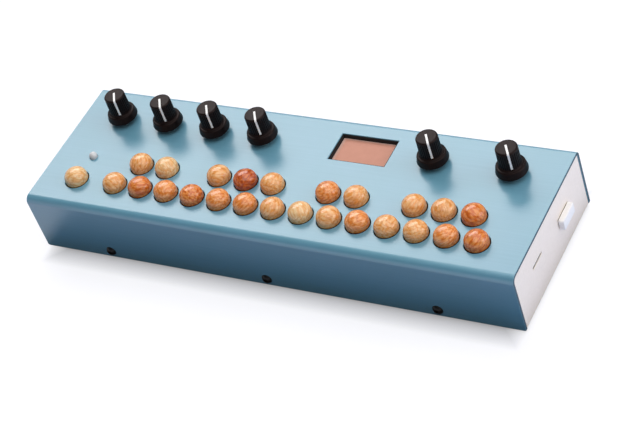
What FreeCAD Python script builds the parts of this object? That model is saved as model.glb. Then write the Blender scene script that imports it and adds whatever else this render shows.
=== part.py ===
import FreeCAD, Part
import math
import os
from FreeCAD import Vector

# Compact desktop synthesizer, in millimetres.
# Origin: centre of the body's footprint on the surface it stands on.
# +X runs along the front to the right, +Y to the back, +Z up.

os.makedirs("parts", exist_ok=True)

# Folded cover: top, front and back in one sheet
width = 316.0
depth = 97.4
cover_sheet = 1.5
flange_height = 40.4
flange_above_rest = 1.8
front_bend_radius = 4.5
rear_bend_radius = 3.0
flange_corner_radius = 1.2

# Folded tray: floor, two ends and two short lips
tray_sheet = 1.5
tray_clearance = 0.25
end_inset = 0.4
lip_height = 8.0
foot_height = 2.4
foot_radius = 6.5
foot_edge_inset_x = 24.0
foot_edge_inset_y = 17.0
foot_edge_round = 1.0

# Cover screws
screw_count = 3
screw_pitch = 108.0
first_screw_from_left = 48.6
screw_above_flange_edge = 5.0
screw_head_radius = 3.3
screw_head_height = 2.0
screw_shank_radius = 1.75
screw_shank_length = 5.0
screw_socket_across = 2.4
screw_socket_depth = 1.2
screw_clearance = 0.2
thread_clearance = 0.02

# Wooden buttons
button_pitch = 18.0
row_spacing = 17.8
first_button_from_left = 53.4
last_button_from_right = 28.6
lower_row_from_front = 21.0
octave_steps = 7
no_upper_key_steps = (2, 6)
aux_button_from_left = 25.8
button_radius = 6.95
button_hole_gap = 0.55
button_dome_height = 7.5
button_straight_proud = 2.1
dome_shoulder_share = (0.78, 0.67)
dome_crown_share = (0.43, 0.93)
button_collar_overhang = 0.5
button_collar_height = 1.6
button_collar_gap = 0.15
button_pin_radius = 1.75
button_pin_end_above_board = 4.5

# Switches under the buttons
switch_size = 6.0
switch_height = 3.6
switch_collar_radius = 2.7
switch_collar_height = 2.4
switch_bore_floor = 2.0
slide_clearance = 0.1

# Status light
light_from_left = 26.3
light_from_front = 40.3
light_radius = 2.5
light_base_radius = 2.9
light_base_below_panel = 2.7
light_proud = 0.8
light_hole_gap = 0.1

# Control board under the panel
board_thickness = 1.6
board_top_below_panel = 13.2
board_end_margin = 5.0
board_front_margin = 8.0
board_rear_margin = 13.7

# Knobs and what turns them
knob_row_from_back = 23.8
parameter_knob_count = 4
first_knob_from_left = 29.6
knob_pitch = 33.0
select_knob_from_right = 76.8
volume_knob_from_right = 28.9
knob_gap = 3.0
knob_height = 20.4
knob_skirt_radius = 9.1
knob_skirt_height = 8.4
knob_skirt_round = 2.0
knob_foot_round = 0.8
knob_cap_base_radius = 7.2
knob_cap_top_radius = 6.3
knob_top_round = 1.0
knob_cavity_radius = 6.5
knob_cavity_over_bushing = 1.0
knob_bore_depth_left = 4.0
flute_count = 30
flute_radius = 0.45
flute_depth = 0.25
flute_lift = 1.0
pointer_width = 1.2
pointer_depth = 0.3
pointer_start_past_centre = 1.8
pointer_turn_from_front = 32.0
shaft_radius = 3.0
shaft_flat = 2.2
running_clearance = 0.05
seat_clearance = 0.03
shaft_foot_above_board = 2.2
bushing_radius = 3.5
bushing_hole_gap = 0.1
bushing_proud = 4.0
shoulder_radius = 5.0
pot_length = 11.4
pot_width = 9.8
pot_height = 9.0
encoder_size = 12.0
encoder_height = 6.5
encoder_floor = 1.0
rotor_radius = 4.6
rotor_height = 4.6
rotor_lift = 0.2
select_push = 0.5
nut_across = 10.0
nut_height = 2.0

# Display behind its window
window_length = 35.5
window_width = 20.0
window_centre_from_right = 122.8
window_centre_from_back = 21.6
display_below_panel_top = 3.2
liner_wall = 0.5
liner_clearance = 0.05
gasket_margin = 2.0
display_length = 44.0
display_width = 28.0
display_thickness = 4.0
header_length = 20.0
header_width = 2.5

# Right end: memory card and USB drive
card_centre_from_front = 29.0
card_slot_length = 12.5
card_slot_height = 1.5
card_centre_below_board = 1.2
card_length = 15.0
card_width = 11.0
card_thickness = 0.8
card_edge_inset = 0.3
card_socket_width = 14.0
card_socket_length = 14.5
card_socket_height = 2.2
usb_centre_from_front = 66.2
usb_centre_below_board = 4.7
usb_plug_width = 12.0
usb_plug_height = 4.5
usb_plug_length = 11.5
usb_plug_wall = 0.35
usb_plug_floor = 1.4
usb_plug_root = 0.5
usb_plug_side_clearance = 0.2
usb_plug_face_clearance = 0.25
usb_shell = 0.4
usb_port_depth = 14.0
usb_tongue_side_clearance = 0.15
usb_tongue_thickness = 1.8
usb_tongue_setback = 1.0
usb_cutout_gap = 0.3
usb_face_inset = 0.6
usb_bracket_setback = 1.0
drive_width = 15.0
drive_height = 6.9
drive_length = 3.3
drive_round = 0.8
drive_panel_gap = 0.3

# Computer board on the tray
compute_length = 112.0
compute_width = 57.0
compute_from_right = 38.0
compute_rear_margin = 3.7
compute_lift = 6.0
chip_size = 14.0
chip_height = 1.4
chip_from_board_left = 47.0
chip_from_board_front = 24.0

# Spacers under both boards
spacer_radius = 3.0
spacer_tip_radius = 1.5
spacer_tip_clearance = 0.1
spacer_barb_radius = 2.1
spacer_barb_height = 0.8
spacer_inset = 5.0
middle_spacer_steps = (4.5, 8.5)

# Back panel
jack_count = 5
jack_first_from_left = 26.0
jack_pitch = 24.0
jack_gap_below_board = 1.9
jack_bore_radius = 3.2
jack_bore_depth = 20.0
jack_body_width = 15.0
jack_body_height = 14.0
jack_body_depth = 24.0
jack_bushing_radius = 4.5
jack_bushing_proud = 3.6
jack_nut_across = 12.0
jack_nut_height = 2.0
rear_usb_from_board_left = 30.0
inlet_from_board_left = 60.0
inlet_width = 9.0
inlet_height = 11.0
inlet_depth = 14.0
inlet_bore_radius = 2.9
inlet_bore_depth = 10.0
inlet_pin_radius = 1.0
inlet_pin_root = 1.0
inlet_pin_setback = 1.0
inlet_cutout_gap = 0.3
power_from_board_left = 88.0
power_radius = 3.4
power_edge_round = 0.55
power_hole_gap = 0.2
power_proud = 1.4
power_travel = 0.8
power_collar_radius = 4.6
power_collar_height = 1.0
power_collar_gap = 0.15
power_pin_length = 3.2
power_switch_above_board = 3.5
power_switch_depth = 6.0
power_switch_floor = 1.0

# How far a cutting shape runs past the face that it opens
overshoot = 1.0

# Levels and faces worked out from the values above
panel_top = flange_above_rest + flange_height
panel_under = panel_top - cover_sheet
left_x = -width / 2
right_x = width / 2
front_y = -depth / 2
rear_y = depth / 2
tray_front_y = front_y + cover_sheet + tray_clearance
tray_rear_y = rear_y - cover_sheet - tray_clearance
tray_top = foot_height + tray_sheet
end_outer_x = right_x - end_inset
end_inner_x = end_outer_x - tray_sheet
end_top = panel_under - tray_clearance
screw_z = flange_above_rest + screw_above_flange_edge
board_top = panel_top - board_top_below_panel
board_under = board_top - board_thickness
board_end_x = right_x - board_end_margin
board_front_y = front_y + board_front_margin
board_rear_y = rear_y - board_rear_margin
compute_under = tray_top + compute_lift
compute_top = compute_under + board_thickness
compute_right_x = right_x - compute_from_right
compute_left_x = compute_right_x - compute_length
compute_rear_y = rear_y - compute_rear_margin
compute_front_y = compute_rear_y - compute_width
knob_row_y = rear_y - knob_row_from_back
bushing_top = panel_top + bushing_proud
button_hole_radius = button_radius + button_hole_gap
button_collar_radius = button_hole_radius + button_collar_overhang
usb_port_width = usb_plug_width + 2 * (usb_plug_side_clearance + usb_shell)
usb_port_height = usb_plug_height + 2 * (usb_plug_face_clearance + usb_shell)
hex_corner = 2 / math.sqrt(3)


def box(x0, x1, y0, y1, z0, z1):
    return Part.makeBox(x1 - x0, y1 - y0, z1 - z0, Vector(x0, y0, z0))


def upright(radius, x, y, z0, z1):
    return Part.makeCylinder(radius, z1 - z0, Vector(x, y, z0))


def lying_y(radius, x, z, y0, y1):
    return Part.makeCylinder(radius, y1 - y0, Vector(x, y0, z), Vector(0, 1, 0))


def hexagon(across, x, y, z0, z1):
    corner = across / 2 * hex_corner
    points = []
    for k in range(7):
        turn = math.radians(60 * k)
        points.append(Vector(x + corner * math.cos(turn), y + corner * math.sin(turn), z0))
    return Part.Face(Part.makePolygon(points)).extrude(Vector(0, 0, z1 - z0))


def turned(edges, x, y):
    """Solid of revolution about the upright line through x, y from edges in the XZ plane."""
    face = Part.Face(Part.Wire(Part.__sortEdges__(edges)))
    solid = face.revolve(Vector(0, 0, 0), Vector(0, 0, 1), 360)
    solid.translate(Vector(x, y, 0))
    return solid


def line(a, b):
    return Part.LineSegment(Vector(a[0], 0, a[1]), Vector(b[0], 0, b[1])).toShape()


def arc(a, middle, b):
    points = [Vector(p[0], 0, p[1]) for p in (a, middle, b)]
    return Part.Arc(points[0], points[1], points[2]).toShape()


def edges_along(shape, axis, test):
    """Straight edges parallel to an axis whose middle passes the test."""
    found = []
    for edge in shape.Edges:
        if edge.Curve.TypeId != "Part::GeomLine":
            continue
        run = edge.Vertexes[-1].Point.sub(edge.Vertexes[0].Point)
        if abs(run.normalize().dot(axis)) > 0.999 and test(edge.CenterOfMass):
            found.append(edge)
    return found


def joined(solids):
    whole = solids[0]
    for other in solids[1:]:
        whole = whole.fuse(other)
    return whole.removeSplitter()


def save(node, shape):
    shape.exportStep("parts/" + node + ".step")


# Where the repeated pieces stand
lower_row_y = front_y + lower_row_from_front
upper_row_y = lower_row_y + row_spacing
first_button_x = left_x + first_button_from_left
button_places = {}
row_steps = round((right_x - last_button_from_right - first_button_x) / button_pitch)
for k in range(row_steps + 1):
    button_places["lower_key_%02d" % (k + 1)] = (first_button_x + k * button_pitch, lower_row_y)
upper_steps = [k for k in range(row_steps) if k % octave_steps not in no_upper_key_steps]
for count, k in enumerate(upper_steps, 1):
    button_places["upper_key_%02d" % count] = (first_button_x + (k + 0.5) * button_pitch, upper_row_y)
button_places["aux_button"] = (left_x + aux_button_from_left, lower_row_y)

pot_places = {}
for k in range(parameter_knob_count):
    pot_places["parameter_%d" % (k + 1)] = left_x + first_knob_from_left + k * knob_pitch
pot_places["volume"] = right_x - volume_knob_from_right
select_x = right_x - select_knob_from_right

screw_xs = [left_x + first_screw_from_left + k * screw_pitch for k in range(screw_count)]
jack_xs = [left_x + jack_first_from_left + k * jack_pitch for k in range(jack_count)]
light_x = left_x + light_from_left
light_y = front_y + light_from_front
jack_z = board_under - jack_gap_below_board - jack_body_height / 2
window_x = right_x - window_centre_from_right
window_y = rear_y - window_centre_from_back
card_y = front_y + card_centre_from_front
card_z = board_under - card_centre_below_board
usb_y = front_y + usb_centre_from_front
usb_z = board_under - usb_centre_below_board
rear_usb_x = compute_left_x + rear_usb_from_board_left
rear_usb_z = compute_top + usb_port_height / 2
inlet_x = compute_left_x + inlet_from_board_left
inlet_z = compute_top + inlet_height / 2
power_x = compute_left_x + power_from_board_left
power_z = compute_top + power_switch_above_board

tall_spacer_places = []
middle_spacer_xs = [first_button_x + step * button_pitch for step in middle_spacer_steps]
for x in [-board_end_x + spacer_inset] + middle_spacer_xs + [board_end_x - spacer_inset]:
    tall_spacer_places.append((x, board_front_y + spacer_inset))
short_spacer_places = []
for x in (compute_left_x + spacer_inset, compute_right_x - spacer_inset):
    for y in (compute_front_y + spacer_inset, compute_rear_y - inlet_depth - spacer_inset):
        short_spacer_places.append((x, y))


def folded(x0, x1, y0, y1, z0, z1, front_radius, rear_radius):
    """Long block with its two top edges rounded."""
    block = box(x0, x1, y0, y1, z0, z1)
    along = Vector(1, 0, 0)
    middle_z = (z0 + z1) / 2
    block = block.makeFillet(front_radius, edges_along(block, along, lambda c: c.z > middle_z and c.y < 0))
    return block.makeFillet(rear_radius, edges_along(block, along, lambda c: c.z > middle_z and c.y > 0))


def make_top_cover():
    outside = folded(left_x, right_x, front_y, rear_y, flange_above_rest, panel_top,
                     front_bend_radius, rear_bend_radius)
    inside = folded(left_x - overshoot, right_x + overshoot, front_y + cover_sheet, rear_y - cover_sheet,
                    flange_above_rest - overshoot, panel_under,
                    front_bend_radius - cover_sheet, rear_bend_radius - cover_sheet)
    cover = outside.cut(inside)
    low_corners = edges_along(cover, Vector(0, 1, 0), lambda c: c.z < screw_z)
    cover = cover.makeFillet(flange_corner_radius, low_corners)
    holes = []
    low = panel_under - overshoot
    high = panel_top + overshoot
    for x, y in button_places.values():
        holes.append(upright(button_hole_radius, x, y, low, high))
    for x in list(pot_places.values()) + [select_x]:
        holes.append(upright(bushing_radius + bushing_hole_gap, x, knob_row_y, low, high))
    holes.append(upright(light_radius + light_hole_gap, light_x, light_y, low, high))
    half_l = window_length / 2 + liner_wall + liner_clearance
    half_w = window_width / 2 + liner_wall + liner_clearance
    holes.append(box(window_x - half_l, window_x + half_l, window_y - half_w, window_y + half_w, low, high))
    front0 = front_y - overshoot
    front1 = front_y + cover_sheet + overshoot
    back0 = rear_y - cover_sheet - overshoot
    back1 = rear_y + overshoot
    for x in screw_xs:
        hole_radius = screw_shank_radius + screw_clearance
        holes.append(lying_y(hole_radius, x, screw_z, front0, front1))
        holes.append(lying_y(hole_radius, x, screw_z, back0, back1))
    for x in jack_xs:
        holes.append(lying_y(jack_bushing_radius + bushing_hole_gap, x, jack_z, back0, back1))
    holes.append(lying_y(power_radius + power_hole_gap, power_x, power_z, back0, back1))
    half_l = usb_port_width / 2 + usb_cutout_gap
    half_h = usb_port_height / 2 + usb_cutout_gap
    holes.append(box(rear_usb_x - half_l, rear_usb_x + half_l, back0, back1,
                     rear_usb_z - half_h, rear_usb_z + half_h))
    half_l = inlet_width / 2 + inlet_cutout_gap
    half_h = inlet_height / 2 + inlet_cutout_gap
    holes.append(box(inlet_x - half_l, inlet_x + half_l, back0, back1, inlet_z - half_h, inlet_z + half_h))
    return cover.cut(Part.makeCompound(holes))


def make_base_tray():
    floor = box(-end_outer_x, end_outer_x, tray_front_y, tray_rear_y, foot_height, tray_top)
    lip_top = foot_height + lip_height
    front_lip = box(-end_inner_x, end_inner_x, tray_front_y, tray_front_y + tray_sheet, foot_height, lip_top)
    rear_lip = box(-end_inner_x, end_inner_x, tray_rear_y - tray_sheet, tray_rear_y, foot_height, lip_top)
    solids = [floor, front_lip, rear_lip]
    for x0, x1 in ((-end_outer_x, -end_inner_x), (end_inner_x, end_outer_x)):
        solids.append(folded(x0, x1, tray_front_y, tray_rear_y, foot_height, end_top,
                             front_bend_radius - cover_sheet, rear_bend_radius - cover_sheet))
    tray = joined(solids)
    holes = []
    for x in screw_xs:
        for y in (tray_front_y, tray_rear_y - tray_sheet):
            holes.append(lying_y(screw_shank_radius + thread_clearance, x, screw_z,
                                 y - overshoot, y + tray_sheet + overshoot))
    for x, y in tall_spacer_places + short_spacer_places:
        tip_hole = spacer_tip_radius + spacer_tip_clearance
        holes.append(upright(tip_hole, x, y, foot_height - overshoot, tray_top + overshoot))
    end0 = end_inner_x - overshoot
    end1 = end_outer_x + overshoot
    half_w = usb_port_width / 2 + usb_cutout_gap
    half_h = usb_port_height / 2 + usb_cutout_gap
    holes.append(box(end0, end1, usb_y - half_w, usb_y + half_w, usb_z - half_h, usb_z + half_h))
    half_w = card_slot_length / 2
    half_h = card_slot_height / 2
    holes.append(box(end0, end1, card_y - half_w, card_y + half_w, card_z - half_h, card_z + half_h))
    return tray.cut(Part.makeCompound(holes))


def make_cover_screws():
    shank = Part.makeCylinder(screw_shank_radius, screw_shank_length, Vector(0, 0, 0), Vector(0, 1, 0))
    dome_radius = (screw_head_radius ** 2 + screw_head_height ** 2) / (2 * screw_head_height)
    ball = Part.makeSphere(dome_radius, Vector(0, dome_radius - screw_head_height, 0))
    head = ball.common(Part.makeCylinder(screw_head_radius, screw_head_height,
                                         Vector(0, -screw_head_height, 0), Vector(0, 1, 0)))
    socket = hexagon(screw_socket_across, 0, 0, 0, screw_socket_depth)
    socket.rotate(Vector(0, 0, 0), Vector(1, 0, 0), -90)
    socket.translate(Vector(0, -screw_head_height, 0))
    screw = joined([head, shank]).cut(socket)
    screws = []
    for x in screw_xs:
        front = screw.copy()
        front.translate(Vector(x, front_y, screw_z))
        rear = screw.copy()
        rear.rotate(Vector(0, 0, 0), Vector(0, 0, 1), 180)
        rear.translate(Vector(x, rear_y, screw_z))
        screws += [front, rear]
    return Part.makeCompound(screws)


def make_rubber_feet():
    feet = []
    for x in (left_x + foot_edge_inset_x, right_x - foot_edge_inset_x):
        for y in (front_y + foot_edge_inset_y, rear_y - foot_edge_inset_y):
            foot = upright(foot_radius, x, y, 0, foot_height)
            rim = [e for e in foot.Edges if e.CenterOfMass.z < foot_height / 2 and len(e.Vertexes) == 1]
            feet.append(foot.makeFillet(foot_edge_round, rim))
    return Part.makeCompound(feet)


def make_button():
    """Domed cap, captive collar and pin, standing at the origin of X and Y."""
    straight_top = panel_top + button_straight_proud
    dome_top = panel_top + button_dome_height
    collar_top = panel_under - button_collar_gap
    collar_under = collar_top - button_collar_height
    pin_end = board_top + button_pin_end_above_board
    dome = [(button_radius, straight_top)]
    for radius_share, rise_share in (dome_shoulder_share, dome_crown_share):
        dome.append((radius_share * button_radius, straight_top + rise_share * (dome_top - straight_top)))
    dome.append((0, dome_top))
    edges = [
        line((0, pin_end), (button_pin_radius, pin_end)),
        line((button_pin_radius, pin_end), (button_pin_radius, collar_under)),
        line((button_pin_radius, collar_under), (button_collar_radius, collar_under)),
        line((button_collar_radius, collar_under), (button_collar_radius, collar_top)),
        line((button_collar_radius, collar_top), (button_radius, collar_top)),
        line((button_radius, collar_top), (button_radius, straight_top)),
    ]
    curve = Part.BSplineCurve()
    points = [Vector(p[0], 0, p[1]) for p in dome]
    curve.interpolate(points, InitialTangent=Vector(0, 0, 1), FinalTangent=Vector(-1, 0, 0))
    edges.append(curve.toShape())
    edges.append(line((0, dome_top), (0, pin_end)))
    return turned(edges, 0, 0)


def make_upright_switch(x, y):
    half = switch_size / 2
    top = board_top + switch_height
    case = box(x - half, x + half, y - half, y + half, board_top, top)
    collar = upright(switch_collar_radius, x, y, top, top + switch_collar_height)
    bore = upright(button_pin_radius + slide_clearance, x, y, board_top + switch_bore_floor,
                   top + switch_collar_height + overshoot)
    return joined([case, collar]).cut(bore)


# The power button: its cap, collar and pin along Y, and the switch behind it
power_collar_back = rear_y - cover_sheet - power_collar_gap
power_collar_front = power_collar_back - power_collar_height
power_pin_end = power_collar_front - power_pin_length
power_switch_face = power_collar_front - power_travel - power_collar_gap


def make_power_button():
    cap = lying_y(power_radius, power_x, power_z, power_collar_back, rear_y + power_proud)
    rim = [e for e in cap.Edges if e.CenterOfMass.y > rear_y and len(e.Vertexes) == 1]
    cap = cap.makeFillet(power_edge_round, rim)
    collar = lying_y(power_collar_radius, power_x, power_z, power_collar_front, power_collar_back)
    pin = lying_y(button_pin_radius, power_x, power_z, power_pin_end, power_collar_front)
    return joined([cap, collar, pin])


def make_switch_bodies():
    switches = [make_upright_switch(x, y) for x, y in button_places.values()]
    case = box(power_x - switch_size / 2, power_x + switch_size / 2,
               power_switch_face - power_switch_depth, power_switch_face,
               compute_top, power_z + switch_size / 2)
    bore = lying_y(button_pin_radius + slide_clearance, power_x, power_z,
                   power_switch_face - power_switch_depth + power_switch_floor, power_switch_face + overshoot)
    switches.append(case.cut(bore))
    return Part.makeCompound(switches)


def make_status_light():
    base = upright(light_base_radius, light_x, light_y, board_top, panel_under - light_base_below_panel)
    stem_top = panel_top + light_proud
    stem = upright(light_radius, light_x, light_y, board_top, stem_top)
    dome = Part.makeSphere(light_radius, Vector(light_x, light_y, stem_top))
    return joined([base, stem, dome])


def make_control_board():
    board = box(-board_end_x, board_end_x, board_front_y, board_rear_y, board_under, board_top)
    holes = []
    for x, y in tall_spacer_places:
        holes.append(upright(spacer_tip_radius + spacer_tip_clearance, x, y,
                             board_under - overshoot, board_top + overshoot))
    return board.cut(Part.makeCompound(holes))


def make_compute_board():
    board = box(compute_left_x, compute_right_x, compute_front_y, compute_rear_y, compute_under, compute_top)
    chip_x = compute_left_x + chip_from_board_left
    chip_y = compute_front_y + chip_from_board_front
    half = chip_size / 2
    chip_top = compute_top + chip_height
    chip = box(chip_x - half, chip_x + half, chip_y - half, chip_y + half, compute_top, chip_top)
    holes = []
    for x, y in short_spacer_places:
        holes.append(upright(spacer_tip_radius + spacer_tip_clearance, x, y,
                             compute_under - overshoot, compute_top + overshoot))
    return joined([board, chip]).cut(Part.makeCompound(holes))


def make_spacer(x, y, z0, z1, board_face):
    """Nylon spacer from z0 to z1 with a barbed tip through the tray and through the board."""
    column = hexagon(2 * spacer_radius, x, y, z0, z1)
    tip = upright(spacer_tip_radius, x, y, foot_height, board_face)
    low_barb = Part.makeCone(spacer_tip_radius, spacer_barb_radius, spacer_barb_height,
                             Vector(x, y, foot_height - spacer_barb_height))
    high_barb = Part.makeCone(spacer_barb_radius, spacer_tip_radius, spacer_barb_height,
                              Vector(x, y, board_face))
    return joined([column, tip, low_barb, high_barb])


def make_board_spacers():
    spacers = [make_spacer(x, y, tray_top, board_under, board_top) for x, y in tall_spacer_places]
    spacers += [make_spacer(x, y, tray_top, compute_under, compute_top) for x, y in short_spacer_places]
    return Part.makeCompound(spacers)


def make_pot_body(x):
    case_top = board_top + pot_height
    half_w = pot_width / 2
    half_l = pot_length / 2
    case = box(x - half_w, x + half_w, knob_row_y - half_l, knob_row_y + half_l, board_top, case_top)
    shoulder = upright(shoulder_radius, x, knob_row_y, case_top, panel_under)
    bushing = upright(bushing_radius, x, knob_row_y, panel_under, bushing_top)
    bore = upright(shaft_radius + running_clearance, x, knob_row_y,
                   board_top + shaft_foot_above_board - slide_clearance, bushing_top + overshoot)
    return joined([case, shoulder, bushing]).cut(bore)


def make_encoder_body():
    half = encoder_size / 2
    case_top = board_top + encoder_height
    case = box(select_x - half, select_x + half, knob_row_y - half, knob_row_y + half, board_top, case_top)
    shoulder = upright(shoulder_radius, select_x, knob_row_y, case_top, panel_under)
    bushing = upright(bushing_radius, select_x, knob_row_y, panel_under, bushing_top)
    floor = board_top + encoder_floor
    chamber = upright(rotor_radius + running_clearance, select_x, knob_row_y,
                      floor, floor + rotor_height + 2 * rotor_lift)
    bore = upright(shaft_radius + running_clearance, select_x, knob_row_y, floor, bushing_top + overshoot)
    return joined([case, shoulder, bushing]).cut(chamber).cut(bore)


def beyond_flat(edge, z0, z1):
    """Cutting block that leaves a flat at this distance from the upright axis."""
    reach = shaft_radius + overshoot
    return box(edge, reach, -reach, reach, z0 - overshoot, z1 + overshoot)


def make_shaft(x, foot, turn):
    """Six-millimetre shaft with a flat on one side, from its foot into the knob."""
    top = panel_top + knob_height - knob_bore_depth_left - slide_clearance
    shaft = upright(shaft_radius, 0, 0, foot, top)
    flat = beyond_flat(shaft_flat, foot, top)
    shaft = shaft.cut(flat)
    shaft.rotate(Vector(0, 0, 0), Vector(0, 0, 1), turn)
    shaft.translate(Vector(x, knob_row_y, 0))
    return shaft


def flatted_bore(clearance, z0, z1):
    bore = upright(shaft_radius + clearance, 0, 0, z0, z1)
    return bore.cut(beyond_flat(shaft_flat + clearance, z0, z1))


def make_encoder_rotor(turn):
    low = board_top + encoder_floor + rotor_lift
    ring = upright(rotor_radius, 0, 0, low, low + rotor_height)
    ring = ring.cut(flatted_bore(running_clearance, low - overshoot, low + rotor_height + overshoot))
    ring.rotate(Vector(0, 0, 0), Vector(0, 0, 1), turn)
    ring.translate(Vector(select_x, knob_row_y, 0))
    return ring


def make_knob():
    """Flared and fluted knob with its pointer groove towards +X, at the origin of X and Y."""
    bottom = panel_top + knob_gap
    top = panel_top + knob_height
    skirt_top = panel_top + knob_skirt_height
    straight_top = skirt_top - knob_skirt_round
    shelf_radius = knob_skirt_radius - knob_skirt_round
    lean = math.sqrt(0.5)
    top_start = top - knob_top_round
    mid_top = (knob_cap_top_radius - (1 - lean) * knob_top_round, top_start + lean * knob_top_round)
    root_radius = knob_cap_base_radius
    root_rise = math.sqrt(max(knob_skirt_round ** 2 - (root_radius - shelf_radius) ** 2, 0))
    root = (root_radius, straight_top + root_rise)
    half_turn = math.atan2(root_rise, root_radius - shelf_radius) / 2
    mid_skirt = (shelf_radius + knob_skirt_round * math.cos(half_turn),
                 straight_top + knob_skirt_round * math.sin(half_turn))
    foot_centre = (knob_skirt_radius - knob_foot_round, bottom + knob_foot_round)
    mid_foot = (foot_centre[0] + lean * knob_foot_round, foot_centre[1] - lean * knob_foot_round)
    edges = [
        line((0, bottom), (foot_centre[0], bottom)),
        arc((foot_centre[0], bottom), mid_foot, (knob_skirt_radius, foot_centre[1])),
        line((knob_skirt_radius, foot_centre[1]), (knob_skirt_radius, straight_top)),
        arc((knob_skirt_radius, straight_top), mid_skirt, root),
        line(root, (knob_cap_top_radius, top_start)),
        arc((knob_cap_top_radius, top_start), mid_top, (knob_cap_top_radius - knob_top_round, top)),
        line((knob_cap_top_radius - knob_top_round, top), (0, top)),
        line((0, top), (0, bottom)),
    ]
    knob = turned(edges, 0, 0)
    cuts = []
    slope = math.atan2(root_radius - knob_cap_top_radius, top_start - root[1])
    for k in range(flute_count):
        flute = Part.makeCylinder(flute_radius, knob_height, Vector(0, 0, 0), Vector(0, 0, 1))
        flute.rotate(Vector(0, 0, 0), Vector(0, 1, 0), -math.degrees(slope))
        flute.translate(Vector(root_radius + flute_radius - flute_depth, 0, root[1] + flute_lift))
        flute.rotate(Vector(0, 0, 0), Vector(0, 0, 1), 360 * (k + 0.5) / flute_count)
        cuts.append(flute)
    half = pointer_width / 2
    outer = knob_skirt_radius
    cuts.append(box(-pointer_start_past_centre, outer, -half, half, top - pointer_depth, top + overshoot))
    side = box(-pointer_depth, outer, -half, half, 0, knob_height)
    side.rotate(Vector(0, 0, 0), Vector(0, 1, 0), -math.degrees(slope))
    side.translate(Vector(root_radius, 0, root[1]))
    cuts.append(side)
    knob = knob.cut(Part.makeCompound(cuts))
    cavity = upright(knob_cavity_radius, 0, 0, bottom - overshoot, bushing_top + knob_cavity_over_bushing)
    bore = flatted_bore(seat_clearance, bushing_top, top - knob_bore_depth_left)
    return knob.cut(cavity).cut(bore)


def make_shaft_nuts():
    nuts = []
    for x in list(pot_places.values()) + [select_x]:
        nut = hexagon(nut_across, x, knob_row_y, panel_top, panel_top + nut_height)
        hole = upright(bushing_radius + thread_clearance, x, knob_row_y, panel_top - overshoot, bushing_top)
        nuts.append(nut.cut(hole))
    return Part.makeCompound(nuts)


def make_display_gasket():
    glass_top = panel_top - display_below_panel_top
    half_l = window_length / 2
    half_w = window_width / 2
    wide_l = half_l + gasket_margin
    wide_w = half_w + gasket_margin
    pad = box(window_x - wide_l, window_x + wide_l, window_y - wide_w, window_y + wide_w,
              glass_top, panel_under)
    rim = box(window_x - half_l - liner_wall, window_x + half_l + liner_wall,
              window_y - half_w - liner_wall, window_y + half_w + liner_wall, glass_top, panel_top)
    hole = box(window_x - half_l, window_x + half_l, window_y - half_w, window_y + half_w,
               glass_top - overshoot, panel_top + overshoot)
    return joined([pad, rim]).cut(hole)


def make_display_module():
    top = panel_top - display_below_panel_top
    under = top - display_thickness
    half_l = display_length / 2
    half_w = display_width / 2
    glass = box(window_x - half_l, window_x + half_l, window_y - half_w, window_y + half_w, under, top)
    header_front = window_y - half_w
    header = box(window_x - header_length / 2, window_x + header_length / 2,
                 header_front, header_front + header_width, board_top, under)
    return joined([glass, header])


def usb_socket():
    """Socket at the origin, its mouth towards +X, centred on the plug's line."""
    half_w = usb_port_width / 2
    half_h = usb_port_height / 2
    shell = box(-usb_port_depth, 0, -half_w, half_w, -half_h, half_h)
    cavity = box(-usb_port_depth + usb_shell, overshoot, -half_w + usb_shell, half_w - usb_shell,
                 -half_h + usb_shell, half_h - usb_shell)
    tongue_half_w = usb_plug_width / 2 - usb_plug_wall - usb_tongue_side_clearance
    tongue_z = (usb_plug_floor - usb_plug_wall) / 2
    half_t = usb_tongue_thickness / 2
    tongue = box(-usb_port_depth + usb_shell / 2, -usb_tongue_setback, -tongue_half_w, tongue_half_w,
                 tongue_z - half_t, tongue_z + half_t)
    return joined([shell.cut(cavity), tongue])


def make_usb_ports():
    side = usb_socket()
    side.translate(Vector(end_outer_x - usb_face_inset, usb_y, usb_z))
    mouth_x = end_outer_x - usb_face_inset
    bracket_end = board_end_x - usb_bracket_setback
    half_w = usb_port_width / 2
    bracket = box(mouth_x - usb_port_depth, bracket_end, usb_y - half_w, usb_y + half_w,
                  usb_z + usb_port_height / 2, board_under)
    rear = usb_socket()
    rear.rotate(Vector(0, 0, 0), Vector(0, 0, 1), 90)
    rear.translate(Vector(rear_usb_x, rear_y - usb_face_inset, rear_usb_z))
    return Part.makeCompound([joined([side, bracket]), rear])


def make_usb_drive():
    half_w = drive_width / 2
    half_h = drive_height / 2
    start = end_outer_x + drive_panel_gap
    body = box(start, start + drive_length, usb_y - half_w, usb_y + half_w, usb_z - half_h, usb_z + half_h)
    outer_edges = [e for e in body.Edges if e.CenterOfMass.x > start + drive_length / 4]
    body = body.makeFillet(drive_round, outer_edges)
    plug_half_w = usb_plug_width / 2
    plug_half_h = usb_plug_height / 2
    tip = start - usb_plug_length
    plug = box(tip, start, usb_y - plug_half_w, usb_y + plug_half_w, usb_z - plug_half_h, usb_z + plug_half_h)
    cavity = box(tip - overshoot, start - usb_plug_root,
                 usb_y - plug_half_w + usb_plug_wall, usb_y + plug_half_w - usb_plug_wall,
                 usb_z - plug_half_h + usb_plug_floor, usb_z + plug_half_h - usb_plug_wall)
    return joined([body, plug]).cut(cavity)


def make_memory_card():
    outer = end_outer_x - card_edge_inset
    return box(outer - card_length, outer, card_y - card_width / 2, card_y + card_width / 2,
               card_z - card_thickness / 2, card_z + card_thickness / 2)


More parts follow.
